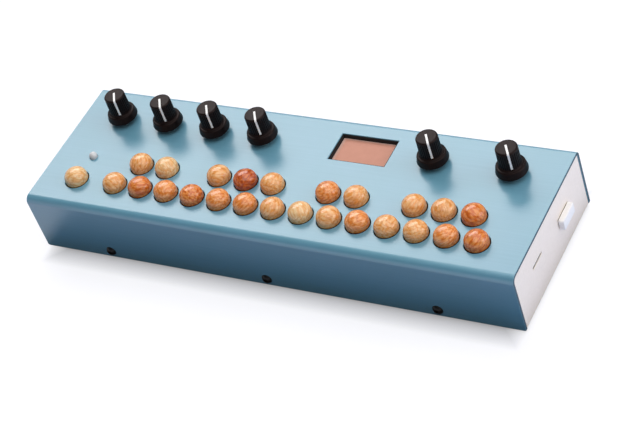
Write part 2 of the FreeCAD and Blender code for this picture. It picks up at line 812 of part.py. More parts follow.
def make_card_socket():
    start = end_inner_x - slide_clearance - card_socket_length
    half = card_socket_width / 2
    case = box(start, start + card_socket_length, card_y - half, card_y + half,
               board_under - card_socket_height, board_under)
    half = card_width / 2 + slide_clearance
    rise = card_thickness / 2 + slide_clearance
    inner_end = end_outer_x - card_edge_inset - card_length - slide_clearance
    pocket = box(inner_end, end_outer_x, card_y - half, card_y + half, card_z - rise, card_z + rise)
    return case.cut(pocket)


def make_jack(x):
    face = rear_y - cover_sheet
    half_w = jack_body_width / 2
    half_h = jack_body_height / 2
    body = box(x - half_w, x + half_w, face - jack_body_depth, face, jack_z - half_h, jack_z + half_h)
    mouth = rear_y + jack_bushing_proud
    bushing = lying_y(jack_bushing_radius, x, jack_z, face, mouth)
    bore = lying_y(jack_bore_radius, x, jack_z, mouth - jack_bore_depth, mouth + overshoot)
    return joined([body, bushing]).cut(bore)


def make_jack_nuts():
    nuts = []
    for x in jack_xs:
        nut = hexagon(jack_nut_across, 0, 0, 0, jack_nut_height)
        hole_radius = jack_bushing_radius + thread_clearance
        nut = nut.cut(upright(hole_radius, 0, 0, -overshoot, jack_nut_height + overshoot))
        nut.rotate(Vector(0, 0, 0), Vector(1, 0, 0), -90)
        nut.translate(Vector(x, rear_y, jack_z))
        nuts.append(nut)
    return Part.makeCompound(nuts)


def make_power_inlet():
    face = rear_y - usb_face_inset
    case = box(inlet_x - inlet_width / 2, inlet_x + inlet_width / 2, face - inlet_depth, face,
               compute_top, compute_top + inlet_height)
    bore = lying_y(inlet_bore_radius, inlet_x, inlet_z, face - inlet_bore_depth, face + overshoot)
    pin = lying_y(inlet_pin_radius, inlet_x, inlet_z, face - inlet_bore_depth - inlet_pin_root,
                  face - inlet_pin_setback)
    return joined([case.cut(bore), pin])


# Casing
save("top_cover", make_top_cover())
save("base_tray", make_base_tray())
save("cover_screws", make_cover_screws())
save("rubber_feet", make_rubber_feet())

# Buttons and their switches
button = make_button()
for node, (x, y) in button_places.items():
    piece = button.copy()
    piece.translate(Vector(x, y, 0))
    save(node, piece)
save("switch_bodies", make_switch_bodies())
save("power_button", make_power_button())
save("status_light", make_status_light())

# Boards
save("control_board", make_control_board())
save("compute_board", make_compute_board())
save("board_spacers", make_board_spacers())

# Knobs, all at the same pointer angle
pointer_turn = pointer_turn_from_front - 90
knob = make_knob()
knob.rotate(Vector(0, 0, 0), Vector(0, 0, 1), pointer_turn)
pot_shaft_foot = board_top + shaft_foot_above_board
for control, x in pot_places.items():
    piece = knob.copy()
    piece.translate(Vector(x, knob_row_y, 0))
    save(control + "_knob", piece)
    save(control + "_shaft", make_shaft(x, pot_shaft_foot, pointer_turn))
piece = knob.copy()
piece.translate(Vector(select_x, knob_row_y, 0))
save("select_knob", piece)
save("select_shaft", make_shaft(select_x, board_top + encoder_floor + select_push + 2 * slide_clearance,
                                pointer_turn))
save("encoder_rotor", make_encoder_rotor(pointer_turn))
save("encoder_body", make_encoder_body())
save("pot_bodies", Part.makeCompound([make_pot_body(x) for x in pot_places.values()]))
save("shaft_nuts", make_shaft_nuts())

# Display
save("display_gasket", make_display_gasket())
save("display_module", make_display_module())

# Right end
save("usb_ports", make_usb_ports())
save("usb_drive", make_usb_drive())
save("memory_card", make_memory_card())
save("card_socket", make_card_socket())

# Back panel
save("rear_jacks", Part.makeCompound([make_jack(x) for x in jack_xs]))
save("jack_nuts", make_jack_nuts())
save("power_inlet", make_power_inlet())
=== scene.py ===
# %% [markdown]
# A compact desktop synthesizer: a folded blue cover over a white tray, with wooden buttons and fluted
# rubber knobs. The construction comes in as a fixed frame. This lesson only dresses it: it softens
# edges, turns the knobs and buttons more finely, and gives every surface a finish. The frame and the
# studio are in metres. The pieces and the camera are drawn in millimetres, times `mm`.

# %% The frame
import math

import bmesh
import bpy
from mathutils import Matrix, Vector


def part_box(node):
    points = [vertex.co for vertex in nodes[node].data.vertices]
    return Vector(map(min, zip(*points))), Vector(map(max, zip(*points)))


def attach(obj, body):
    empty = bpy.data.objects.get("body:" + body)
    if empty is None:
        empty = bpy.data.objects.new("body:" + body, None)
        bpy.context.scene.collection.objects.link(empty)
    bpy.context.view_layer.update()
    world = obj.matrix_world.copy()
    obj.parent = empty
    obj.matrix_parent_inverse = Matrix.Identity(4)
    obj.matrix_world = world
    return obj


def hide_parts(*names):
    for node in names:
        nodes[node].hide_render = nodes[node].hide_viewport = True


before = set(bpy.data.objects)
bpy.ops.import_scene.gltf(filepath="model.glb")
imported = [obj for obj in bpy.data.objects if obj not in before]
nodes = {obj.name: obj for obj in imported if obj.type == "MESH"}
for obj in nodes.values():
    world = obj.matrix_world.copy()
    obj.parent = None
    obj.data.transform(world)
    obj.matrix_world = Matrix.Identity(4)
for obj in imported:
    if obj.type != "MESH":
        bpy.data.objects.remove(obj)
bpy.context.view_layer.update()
mm = 0.001
print("nodes in the frame:", len(nodes))

# %% [markdown]
# Where things stand is read from the boxes of the nodes, so the lesson follows the frame when it
# changes. `middle` gives the centre of a node, and the panel's top face is the top of the folded cover.

# %% Places read from the frame
def middle(node):
    low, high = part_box(node)
    return (low + high) / 2


cover_low, cover_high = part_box("top_cover")
panel_top = cover_high.z
note_nodes = sorted(name for name in nodes if name.startswith(("lower_key", "upper_key")))
button_nodes = note_nodes + ["aux_button"]
knob_nodes = sorted(name for name in nodes if name.endswith("_knob"))
print("panel top at", round(panel_top / mm, 2), "mm")
print(len(button_nodes), "buttons and", len(knob_nodes), "knobs")

# %% [markdown]
# The camera repeats the photograph's view: from the front right, looking down, and rolled so that the
# box lies aslant in the frame. A long lens far away keeps the box's edges nearly parallel.

# %% Camera
camera_aim = Vector((27.96, -30.34, 42.2)) * mm
camera_distance = 1080.75 * mm
camera_azimuth = math.radians(40.715)
camera_elevation = math.radians(42.396)
camera_roll = math.radians(-20.961)

camera = bpy.data.objects.new("camera", bpy.data.cameras.new("camera"))
bpy.context.collection.objects.link(camera)
camera.data.sensor_width = 36.0
camera.data.lens = 113.9
camera.data.clip_start = 0.05
turned = (Matrix.Rotation(camera_azimuth, 4, "Z")
          @ Matrix.Rotation(math.pi / 2 - camera_elevation, 4, "X")
          @ Matrix.Rotation(camera_roll, 4, "Z"))
camera.matrix_world = Matrix.Translation(camera_aim) @ turned @ Matrix.Translation((0, 0, camera_distance))
bpy.context.scene.camera = camera
print("camera stands at", [round(c / mm) for c in camera.matrix_world.translation], "mm")

# %% [markdown]
# Materials are node graphs. `linear` turns a hex colour, as a paint chart gives it, into the linear
# values that a renderer counts in. `add` puts one node into a graph, with its settings and its links.

# %% Colour and nodes
def linear(hex_colour):
    channels = [int(hex_colour[k:k + 2], 16) / 255 for k in (1, 3, 5)]
    return [c / 12.92 if c <= 0.04045 else ((c + 0.055) / 1.055) ** 2.4 for c in channels] + [1.0]


def add(tree, kind, inputs=None, **settings):
    node = tree.nodes.new(kind)
    for name, value in settings.items():
        setattr(node, name, value)
    for name, value in (inputs or {}).items():
        if isinstance(value, bpy.types.NodeSocket):
            tree.links.new(value, node.inputs[name])
        else:
            node.inputs[name].default_value = value
    return node


# %% [markdown]
# Nearly every finish is a cloud of noise, stretched along one direction or not, that moves the colour a
# little, the roughness a little and the height a little. `grain` is that cloud, sized in millimetres,
# `tint` lets a colour follow it, and `start_material` makes a surface that all three act on. Noise
# values mostly lie between 0.3 and 0.7, so that is the stretch in which the colour goes from its first
# to its second tone.

# %% Finishes from noise
noise_low = 0.3
noise_high = 0.7


def grain(tree, size, detail=3.0, spot=None):
    """Noise whose patches are size = (x, y, z) millimetres."""
    place = spot or add(tree, "ShaderNodeTexCoord").outputs["Object"]
    scale = [1 / (s * mm) for s in size]
    stretched = add(tree, "ShaderNodeMapping", {"Vector": place, "Scale": scale})
    values = {"Vector": stretched.outputs[0], "Scale": 1.0, "Detail": detail}
    return add(tree, "ShaderNodeTexNoise", values).outputs["Fac"]


def tint(tree, pattern, first, second, start=noise_low, end=noise_high, most=1.0):
    """The first colour where the pattern is low, going to the second where it is high."""
    share = add(tree, "ShaderNodeMapRange", {"Value": pattern, "From Min": start, "From Max": end,
                                             "To Max": most})
    blend = add(tree, "ShaderNodeMix", {0: share.outputs[0], 6: first, 7: second}, data_type="RGBA")
    return blend.outputs[2]


def start_material(name, colour, pattern, rough, depth, **surface_values):
    """Colour and pattern are functions of the tree; the pattern moves roughness and height (depth in mm).

    A surface value is a number, a colour, or a function of the tree that gives a socket.
    """
    material = bpy.data.materials.new(name)
    material.use_nodes = True
    tree = material.node_tree
    tree.nodes.clear()
    height = pattern(tree)
    roughness = add(tree, "ShaderNodeMapRange", {"Value": height, "From Min": noise_low,
                                                 "From Max": noise_high,
                                                 "To Min": rough[0], "To Max": rough[1]})
    bump = add(tree, "ShaderNodeBump", {"Height": height, "Distance": depth * mm})
    inputs = {}
    for label, value in surface_values.items():
        inputs[label.replace("_", " ")] = value(tree) if callable(value) else value
    inputs.update({"Base Color": colour(tree, height), "Roughness": roughness.outputs[0],
                   "Normal": bump.outputs[0]})
    surface = add(tree, "ShaderNodeBsdfPrincipled", inputs)
    add(tree, "ShaderNodeOutputMaterial", {"Surface": surface.outputs[0]})
    return material


def two_tone(name, first, second, size, rough, depth, **surface_values):
    """A finish that goes between two colours with one noise."""
    return start_material(name, lambda tree, height: tint(tree, height, linear(first), linear(second)),
                          lambda tree: grain(tree, size), rough, depth, **surface_values)


# %% [markdown]
# The studio is a white paper sweep under soft light. A wide softbox behind the box and to its left is
# what the flat panel mirrors towards the camera, which gives it its sheen. One overhead does most of the
# lighting and keeps the shadows short, and one low on the right keeps the white end bright. The front
# gets no lamp of its own, only what the paper throws back. A softbox is set by its radiance, so that its
# brightness stays when its size changes.

# %% Softboxes
def softbox(name, place, width, height, radiance):
    lamp = bpy.data.lights.new(name, "AREA")
    lamp.shape = "RECTANGLE"
    lamp.size = width
    lamp.size_y = height
    lamp.energy = radiance * math.pi * width * height
    holder = bpy.data.objects.new(name, lamp)
    holder.location = place
    holder.rotation_euler = (-Vector(place)).to_track_quat("-Z", "Y").to_euler()
    bpy.context.collection.objects.link(holder)


softbox("back_softbox", (-0.84, 0.98, 1.17), width=1.3, height=0.6, radiance=4.6)
softbox("overhead_softbox", (0.3, 0.1, 1.4), width=2.0, height=1.5, radiance=1.65)
softbox("right_softbox", (1.5, 0.3, 0.7), width=1.0, height=1.0, radiance=2.7)

# %% [markdown]
# The world fills the shadows, less from the front than from behind. Where it is seen, it is white paper
# up to the sweep's top edge, and the dim room above that, which glossy edges mirror as a dark line.

# %% World
front_fill = 0.12
back_fill = 0.3
sweep_top = (0.2, 0.45)
dim_room = 0.08


def seen_ray(tree):
    """One for a ray from the camera, straight or by a mirror or glass; zero for light on its way round."""
    ray = add(tree, "ShaderNodeLightPath")
    seen = add(tree, "ShaderNodeMath",
               {0: ray.outputs["Is Camera Ray"], 1: ray.outputs["Is Transmission Ray"]},
               operation="MAXIMUM")
    return add(tree, "ShaderNodeMath", {0: seen.outputs[0], 1: ray.outputs["Is Glossy Ray"]},
               operation="MAXIMUM").outputs[0]


world = bpy.data.worlds.new("studio")
world.use_nodes = True
bpy.context.scene.world = world
sky = world.node_tree
sky.nodes.clear()
direction = add(sky, "ShaderNodeSeparateXYZ", {0: add(sky, "ShaderNodeTexCoord").outputs["Generated"]})
fill = add(sky, "ShaderNodeMapRange", {"Value": direction.outputs["Y"], "From Min": -1.0, "From Max": 1.0,
                                       "To Min": front_fill, "To Max": back_fill})
shown = add(sky, "ShaderNodeMapRange", {"Value": direction.outputs["Z"], "From Min": sweep_top[0],
                                        "From Max": sweep_top[1], "To Min": 1.0, "To Max": dim_room})
level = add(sky, "ShaderNodeMapRange", {"Value": seen_ray(sky), "To Min": fill.outputs[0],
                                        "To Max": shown.outputs[0]})
backdrop = add(sky, "ShaderNodeBackground", {"Color": linear("#FBFBFF"), "Strength": level.outputs[0]})
add(sky, "ShaderNodeOutputWorld", {"Surface": backdrop.outputs[0]})

# %% [markdown]
# The paper glows a little where it is seen, so that it reads as white, and less right beside the box, which
# paints a shadow there. For light on its way round it is a bluer tone. In a strip before the front it is
# dark for light on its way round and for reflections: a painted shade, so that the front fades to a deep
# blue towards its foot.

# %% Paper floor
floor_reach = 3.0
glow_in_painted_shadow = 0.33
glow_open = 0.74
shadow_width = 0.013
shade_full = 0.012
shade_end = 0.07
shaded_glow = 0.05


def outside(tree, axis, edge):
    """How far a spot of the paper lies beyond the box along one axis, on either side."""
    place = add(tree, "ShaderNodeSeparateXYZ", {0: add(tree, "ShaderNodeTexCoord").outputs["Object"]})
    across = add(tree, "ShaderNodeMath", {0: place.outputs[axis]}, operation="ABSOLUTE")
    return add(tree, "ShaderNodeMath", {0: across.outputs[0], 1: edge}, operation="SUBTRACT").outputs[0]


def painted_front_shade(tree):
    """Painted shade: one just before the box, zero at the shade's end, and zero for the camera's rays."""
    place = add(tree, "ShaderNodeSeparateXYZ", {0: add(tree, "ShaderNodeTexCoord").outputs["Object"]})
    near = add(tree, "ShaderNodeMapRange", {"Value": place.outputs["Y"],
                                            "From Min": cover_low.y - shade_end,
                                            "From Max": cover_low.y - shade_full})
    beside = add(tree, "ShaderNodeMapRange", {"Value": outside(tree, "X", cover_high.x),
                                              "From Min": shade_full, "From Max": 0.0})
    both = add(tree, "ShaderNodeMath", {0: near.outputs[0], 1: beside.outputs[0]}, operation="MULTIPLY")
    from_camera = add(tree, "ShaderNodeLightPath").outputs["Is Camera Ray"]
    return add(tree, "ShaderNodeMath", {0: both.outputs[0], 1: from_camera}, operation="SUBTRACT",
               use_clamp=True).outputs[0]


def paper_colour(tree, height):
    pale = tint(tree, height, linear("#9A9AA3"), linear("#9E9EA7"))
    open_paper = tint(tree, seen_ray(tree), linear("#BED2FA"), pale, start=0.0, end=1.0)
    # The dark strip before the front is painted shade, seen in bounced light and in reflections.
    return tint(tree, painted_front_shade(tree), open_paper, linear("#1C2430"), start=0.0, end=1.0)


def paper_light(tree):
    ends = outside(tree, "X", cover_high.x - shadow_width)
    clear = add(tree, "ShaderNodeMath", {0: ends, 1: outside(tree, "Y", cover_high.y)},
                operation="MAXIMUM")
    # Less glow right beside the box paints a shadow there.
    glow = add(tree, "ShaderNodeMapRange", {"Value": clear.outputs[0], "From Max": shadow_width,
                                            "To Min": glow_in_painted_shadow, "To Max": glow_open})
    level = add(tree, "ShaderNodeMapRange", {"Value": painted_front_shade(tree), "To Min": glow.outputs[0],
                                             "To Max": shaded_glow})
    return add(tree, "ShaderNodeMath", {0: seen_ray(tree), 1: level.outputs[0]},
               operation="MULTIPLY").outputs[0]


paper = start_material("white_paper_sweep", paper_colour, lambda tree: grain(tree, (90, 90, 90)),
                       (0.85, 0.95), 0.0, Emission_Color=linear("#FFFFFF"),
                       Emission_Strength=paper_light, Specular_IOR_Level=0.0)
floor_mesh = bpy.data.meshes.new("floor")
corners = [(x * floor_reach, y * floor_reach, 0) for x, y in ((-1, -1), (1, -1), (1, 1), (-1, 1))]
floor_mesh.from_pydata(corners, [], [(0, 1, 2, 3)])
floor = bpy.data.objects.new("floor", floor_mesh)
bpy.context.collection.objects.link(floor)
floor_mesh.materials.append(paper)
bpy.context.scene.view_settings.view_transform = "Standard"
print("floor reaches", floor_reach, "m")

# %% [markdown]
# Folded and moulded parts never have knife edges. `softened` copies a node's mesh, joins its flat
# triangles into whole faces and rounds the sharp edges a little, so that they catch a line of light. The
# weighted normals keep the flat faces flat. A flat face with a hole in it is cut by seams, and the
# rounding may not slide along them, because it would fold slivers over at their ends. The copy takes the
# node's place, and the node stays behind it for the motion.

# %% Dressing tools
weld_distance = 0.0005
seam_angle = math.radians(0.5)
edge_angle = math.radians(40)
smooth_angle = math.radians(35)


def place_piece(piece, body, material, replaced=()):
    piece.data.materials.clear()
    piece.data.materials.append(material)
    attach(piece, body)
    if replaced:
        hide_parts(*replaced)
    return piece


def to_piece(bm, name):
    bmesh.ops.recalc_face_normals(bm, faces=bm.faces)
    mesh = bpy.data.meshes.new(name)
    bm.to_mesh(mesh)
    bm.free()
    mesh.shade_smooth()
    mesh.set_sharp_from_angle(angle=smooth_angle)
    piece = bpy.data.objects.new(name, mesh)
    bpy.context.collection.objects.link(piece)
    return piece


def softened(node, name, edge, body, material):
    bm = bmesh.new()
    bm.from_mesh(nodes[node].data)
    bmesh.ops.remove_doubles(bm, verts=bm.verts, dist=weld_distance * mm)
    bmesh.ops.dissolve_limit(bm, angle_limit=seam_angle, verts=bm.verts, edges=bm.edges)
    piece = to_piece(bm, name)
    rounding = piece.modifiers.new("edge_break", "BEVEL")
    rounding.width = edge * mm
    rounding.segments = 2
    rounding.limit_method = "ANGLE"
    rounding.angle_limit = edge_angle
    rounding.use_clamp_overlap = False
    rounding.loop_slide = False
    piece.modifiers.new("flat_faces", "WEIGHTED_NORMAL").keep_sharp = True
    return place_piece(piece, body, material, [node])


def dress(node, material):
    """A node of the frame that keeps its own mesh only gets a finish."""
    mesh = nodes[node].data
    if not mesh.materials:
        mesh.materials.append(material)
    for place in nodes[node].material_slots:
        place.material = material


# %% [markdown]
# Anodised aluminium: the sheet is brushed along its length, then grown an oxide skin that takes a blue
# dye. The dyed skin scatters more light than it mirrors, and its clear surface adds a pale sheen, so the
# panel under the softbox looks lighter than the front. Real brush lines lie about 0.1 mm apart. They are
# drawn 0.9 mm apart here, because finer ones can't show at this size.

# %% Anodised aluminium
def dyed_oxide(tree, height):
    blue = tint(tree, height, linear("#6498AE"), linear("#6A9EB4"))
    clouds = grain(tree, (26, 18, 18), detail=2)
    return tint(tree, clouds, blue, linear("#5F98AA"), most=0.4)


anodised = start_material("brushed_blue_anodised_aluminium", dyed_oxide,
                          lambda tree: grain(tree, (70, 0.9, 0.9), detail=4), (0.42, 0.5), 0.006,
                          Specular_IOR_Level=0.0, Coat_Weight=1.0, Coat_Roughness=0.28, Coat_IOR=1.75)
cover = softened("top_cover", "folded_cover", 0.2, "chassis", anodised)

# %% [markdown]
# The narrow end faces of the sheet get a finish of their own: darker, greyer and without the clear sheen.
# Their darkness is painted shade along the cut ends.

# %% Ends with painted shade
end_depth = 0.1

# Painted shade: the cut end faces are coloured darker than the panel.
shaded_end_finish = two_tone("shaded_anodised_end", "#2F4A58", "#3A5766", (0.6, 0.6, 0.6), (0.5, 0.62), 0.01,
                Specular_IOR_Level=0.3)
cover.data.materials.append(shaded_end_finish)
for face in cover.data.polygons:
    face.material_index = int(abs(face.center.x) > cover_high.x - end_depth * mm)
print("cover dressed, sawn faces:", sum(face.material_index for face in cover.data.polygons))

# %% [markdown]
# Enamelled steel: the tray is folded, then powder coated white and baked. The coat is thick enough to
# round the edges, and it dries with a faint orange-peel ripple, one or two millimetres from crest to
# crest.

# %% Enamelled steel
enamel = two_tone("baked_white_enamel", "#FAECDE", "#FFF1E4", (1.6, 1.6, 1.6), (0.38, 0.46), 0.01,
                  Coat_Weight=0.25, Coat_Roughness=0.3)
softened("base_tray", "folded_tray", 0.25, "chassis", enamel)
print("tray dressed")

# %% [markdown]
# Turned pieces are drawn as half a section and spun on a lathe. `rounded_line` takes the corners of the
# half section with a rounding for each, and returns points along it. `lathe` spins them.

# %% Lathe
on_axis = 1e-6


def rounded_line(corners, steps=5):
    """Points of a line through (radius, height, rounding) corners, all in millimetres."""
    points = []
    for k, (radius, height, rounding) in enumerate(corners):
        here = Vector((radius, height))
        if rounding == 0:
            points.append(here)
            continue
        back = (Vector(corners[k - 1][:2]) - here).normalized()
        ahead = (Vector(corners[k + 1][:2]) - here).normalized()
        half = back.angle(ahead) / 2
        centre = here + (back + ahead).normalized() * rounding / math.sin(half)
        start = here + back * rounding / math.tan(half) - centre
        end = here + ahead * rounding / math.tan(half) - centre
        points += [centre + start.slerp(end, s / steps) for s in range(steps + 1)]
    return points


def lathe(name, line, segments=64, shape=None):
    """Spins (radius, height) points about the upright axis.

    A point on the axis stays one corner. The shape, where one is given, moves a radius by its
    height and its angle.
    """
    bm = bmesh.new()
    rings = []
    for point in line:
        around = segments if point.x > on_axis else 1
        ring = []
        for k in range(around):
            angle = 2 * math.pi * k / segments
            radius = shape(point.x, point.y, angle) if shape else point.x
            spot = Vector((radius * math.cos(angle), radius * math.sin(angle), point.y))
            ring.append(bm.verts.new(spot * mm))
        rings.append(ring)
    for low, high in zip(rings, rings[1:]):
        for k in range(segments):
            ends = (low[k % len(low)], low[(k + 1) % len(low)],
                    high[(k + 1) % len(high)], high[k % len(high)])
            face = list(dict.fromkeys(ends))
            if len(face) > 2:
                bm.faces.new(face)
    return to_piece(bm, name)


# %% [markdown]
# Lacquered wood: the buttons are turned from offcuts, so some are pale and some are a deep red brown.
# Growth rings show as curved lines a millimetre or two apart, with mottled fibre between them, and a
# clear gloss lacquer lies over the grain. Each button's place shifts its rings and it is turned by its
# own angle, so no two are alike. Real fibres are a tenth of a millimetre wide. They are drawn half a
# millimetre wide, so that they show.

# %% Lacquered wood
ring_spacing = 1.6
grain_turn = (0.5, 1.1, 0.0)
shift_by_place = (0.13, 0.31, 0.0)
waves_per_scale = 20 / (2 * math.pi)


def wave_scale(spacing):
    """The texture scale at which waves lie this many millimetres apart."""
    return 1 / (waves_per_scale * spacing * mm)


def wood_grain(tree):
    here = add(tree, "ShaderNodeTexCoord").outputs["Object"]
    own = add(tree, "ShaderNodeVectorMath", {0: add(tree, "ShaderNodeObjectInfo").outputs["Location"],
                                             1: shift_by_place}, operation="MULTIPLY")
    cut = add(tree, "ShaderNodeVectorMath", {0: here, 1: own.outputs[0]}, operation="ADD").outputs[0]
    return add(tree, "ShaderNodeMapping", {"Vector": cut, "Rotation": grain_turn}).outputs[0]


def lacquered_wood(name, pale, dark, line):
    def colour(tree, fibre):
        spot = wood_grain(tree)
        rings = add(tree, "ShaderNodeTexWave",
                    {"Vector": spot, "Scale": wave_scale(ring_spacing), "Distortion": 7.0,
                     "Detail": 3.0, "Detail Scale": 1.2},
                    wave_type="RINGS", rings_direction="Z", wave_profile="SAW").outputs["Fac"]
        mottle = grain(tree, (1.3, 1.3, 5.0), detail=3, spot=spot)
        wood = tint(tree, mottle, linear(pale), linear(dark), start=0.42, end=0.58)
        wood = tint(tree, rings, wood, linear(line), start=0.6, end=1.0, most=0.45)
        return tint(tree, fibre, wood, linear(line), start=0.5, end=0.75, most=0.4)

    return start_material(name, colour,
                          lambda tree: grain(tree, (0.5, 0.5, 2.5), detail=4, spot=wood_grain(tree)),
                          (0.35, 0.55), 0.03, Specular_IOR_Level=0.0, Coat_Weight=1.0,
                          Coat_Roughness=0.2, Coat_IOR=1.65)


woods = {
    "pale": lacquered_wood("pale_lacquered_alder", "#F7D19C", "#ECAE6A", "#C8843F"),
    "honey": lacquered_wood("honey_lacquered_cherry", "#F7C084", "#EA9A4E", "#BC6A20"),
    "amber": lacquered_wood("amber_lacquered_cherry", "#F8AC68", "#E48234", "#AE5010"),
    "tan": lacquered_wood("tan_lacquered_cherry", "#EE964C", "#D2681E", "#983E08"),
    "red": lacquered_wood("red_lacquered_padauk", "#DA7636", "#B64A14", "#7C2804"),
}
print("woods:", ", ".join(woods))

# %% [markdown]
# A button is a full dome on a short straight wall. The wood ends inside its hole, where it is glued to a
# black plunger: a collar below the panel that keeps it in, and a pin that presses the switch. The plunger's
# black also covers the button's wall inside the hole, where it is painted shade for the gap round each
# button. The dome is a little fuller than a ball, as its outline in the photograph is. The wood of each
# button is the one of the five that comes nearest to the photograph's. The lower row is named from left to
# right, then the upper row, then the button that stands alone.

# %% Button section
button_radius = 6.95
button_straight = 2.1
dome_fullness = 0.85
collar_radius = 8.0
collar_height = 1.6
collar_round = 0.25
wood_below_panel = 0.1
pin_radius = 1.75
pin_round = 0.3
sheet_and_gap = 1.65
dome_steps = 16


def button_line(panel_height, full_height):
    """Half section from the pin's end; heights are in millimetres above it."""
    collar_top = panel_height - sheet_and_gap
    collar_foot = collar_top - collar_height
    line = rounded_line([(0, 0, 0), (pin_radius, 0, pin_round), (pin_radius, collar_foot, 0),
                         (collar_radius, collar_foot, collar_round),
                         (collar_radius, collar_top, collar_round), (button_radius, collar_top, 0),
                         (button_radius, panel_height - wood_below_panel, 0)])
    wall_top = panel_height + button_straight
    for step in range(dome_steps):
        climb = math.pi / 2 * step / dome_steps
        radius = button_radius * math.cos(climb) ** dome_fullness
        line.append(Vector((radius, wall_top + (full_height - wall_top) * math.sin(climb))))
    return line + [Vector((0, full_height))]


# %% Buttons
lower_woods = "honey tan amber tan amber amber honey pale honey amber honey honey amber tan".split()
upper_woods = "honey pale honey red honey amber honey honey honey tan".split()
button_woods = lower_woods + upper_woods + ["pale"]
turn_between_buttons = math.radians(47)

black_plunger_and_gap_shade = two_tone("black_acetal_and_gap_shade", "#0C0B0B", "#151313", (0.8, 0.8, 0.8), (0.45, 0.6), 0.006)

for count, node in enumerate(button_nodes):
    low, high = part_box(node)
    panel_height = (panel_top - low.z) / mm
    piece = lathe("wood_" + node, button_line(panel_height, (high.z - low.z) / mm), segments=72)
    piece.location = (middle(node).x, middle(node).y, low.z)
    piece.rotation_euler.z = turn_between_buttons * count
    place_piece(piece, node, woods[button_woods[count]], [node])
    piece.data.materials.append(black_plunger_and_gap_shade)
    # The black on the wall inside the hole is painted shade for the gap round the button.
    for face in piece.data.polygons:
        face.material_index = int(face.center.z < (panel_height - wood_below_panel) * mm)
print("buttons turned:", len(button_nodes))

# %% [markdown]
# Soft rubber over a plastic core: the knob flares to a rounded skirt, and fine flutes run up the cap for
# grip. The rubber is a brown black, matt, with a faint uneven bloom. A white line is set in it.

# %% Rubber and paint
rubber = two_tone("moulded_black_rubber", "#0B0404", "#130808", (1.4, 1.4, 1.4), (0.34, 0.44), 0.015,
                  Specular_IOR_Level=0.19, Specular_Tint=linear("#FFE6E2"))
paint = two_tone("white_filled_line", "#F4F2F1", "#FBFAF9", (0.8, 0.8, 0.8), (0.35, 0.45), 0.004)

# %% [markdown]
# The knob's half section is one line of rounded corners: a skirt that stands clear of the panel, a
# rounded shoulder, a notch, and the leaning cap. Its flutes are a small ripple in the radius, which
# fades out at the foot and the top of the cap and on both sides of the pointer.

# %% Knob section
skirt_radius = 9.1
skirt_height = 5.4
skirt_edge_round = 0.8
shoulder_round = 1.5
notch_round = 0.3
cap_foot_radius = 7.2
cap_top_radius = 6.3
cap_edge_round = 1.0
bore_radius = 3.05
bore_end = 13.5
cavity_radius = 6.5
cavity_height = 2.0
flute_count = 30
flute_depth = 0.28
points_per_flute = 8
flute_start = 0.3
flute_fade = 0.9
flute_top_fade = 0.6
flat_top_margin = 0.2
pointer_turn = math.radians(-58)
pointer_clear = math.radians(9)
pointer_clear_start = 0.6
line_proud = 0.06
section_step = 0.6

knob_low, knob_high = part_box(knob_nodes[0])
knob_height = (knob_high.z - knob_low.z) / mm - line_proud
knob_inside = [Vector(point) for point in ((0, bore_end), (bore_radius, bore_end),
                                           (bore_radius, cavity_height), (cavity_radius, cavity_height))]
knob_outside = rounded_line([(cavity_radius, 0, 0), (skirt_radius, 0, skirt_edge_round),
                             (skirt_radius, skirt_height, shoulder_round),
                             (cap_foot_radius, skirt_height, notch_round),
                             (cap_top_radius, knob_height, cap_edge_round), (0, knob_height, 0)], steps=7)


def smooth_step(low, high, value):
    share = min(max((value - low) / (high - low), 0), 1)
    return share * share * (3 - 2 * share)


def fluted(radius, height, angle):
    cap_end = knob_height - cap_edge_round
    if radius < cap_top_radius - flat_top_margin:
        return radius
    first_flute = skirt_height + flute_start
    fade = smooth_step(first_flute, first_flute + flute_fade, height)
    fade *= 1 - smooth_step(cap_end - flute_top_fade, cap_end, height)
    from_pointer = abs((angle - pointer_turn + math.pi) % (2 * math.pi) - math.pi)
    ripple = (0.5 - 0.5 * math.cos(flute_count * (angle - pointer_turn))) ** 2
    beside = smooth_step(pointer_clear * pointer_clear_start, pointer_clear, from_pointer)
    return radius - flute_depth * ripple * fade * beside


def dense(line, step):
    """The same line with extra points, so that no stretch is longer than the step."""
    points = [line[0]]
    for end in line[1:]:
        start = points[-1]
        parts = max(1, math.ceil((end - start).length / step))
        points += [start.lerp(end, k / parts) for k in range(1, parts + 1)]
    return points


print("knob section:", len(dense(knob_outside, section_step)), "points,", round(knob_height, 2), "mm high")

# %% [markdown]
# The pointer is a thin strip that follows the same section, a hair proud of the rubber. It runs down the
# cap's side to the notch, and over the top it goes a little past the middle.

# %% Pointers
pointer_half_width = 0.6
pointer_sunk = 0.3
pointer_past_centre = 1.8
pointer_above_skirt = 0.25
pointer_foot = skirt_height + pointer_above_skirt


def pointer_strip(name, line):
    bm = bmesh.new()
    sections = []
    for k, point in enumerate(line):
        along = (line[min(k + 1, len(line) - 1)] - line[max(k - 1, 0)]).normalized()
        out = Vector((along.y, -along.x))
        face = point + out * line_proud
        sunk = point - out * pointer_sunk
        section = []
        for spot, side in ((sunk, -1), (face, -1), (face, 1), (sunk, 1)):
            flat = Vector((spot.x, side * pointer_half_width, spot.y)) * mm
            section.append(bm.verts.new(Matrix.Rotation(pointer_turn, 3, "Z") @ flat))
        sections.append(section)
    for first, second in zip(sections, sections[1:]):
        for a, b in ((0, 1), (1, 2), (2, 3), (3, 0)):
            bm.faces.new((first[a], first[b], second[b], second[a]))
    bm.faces.new(sections[0])
    bm.faces.new(sections[-1])
    return to_piece(bm, name)


pointer_line = [point for point in dense(knob_outside, section_step) if point.y > pointer_foot]
pointer_line.append(Vector((-pointer_past_centre, knob_height)))
print("pointer:", len(pointer_line), "points")

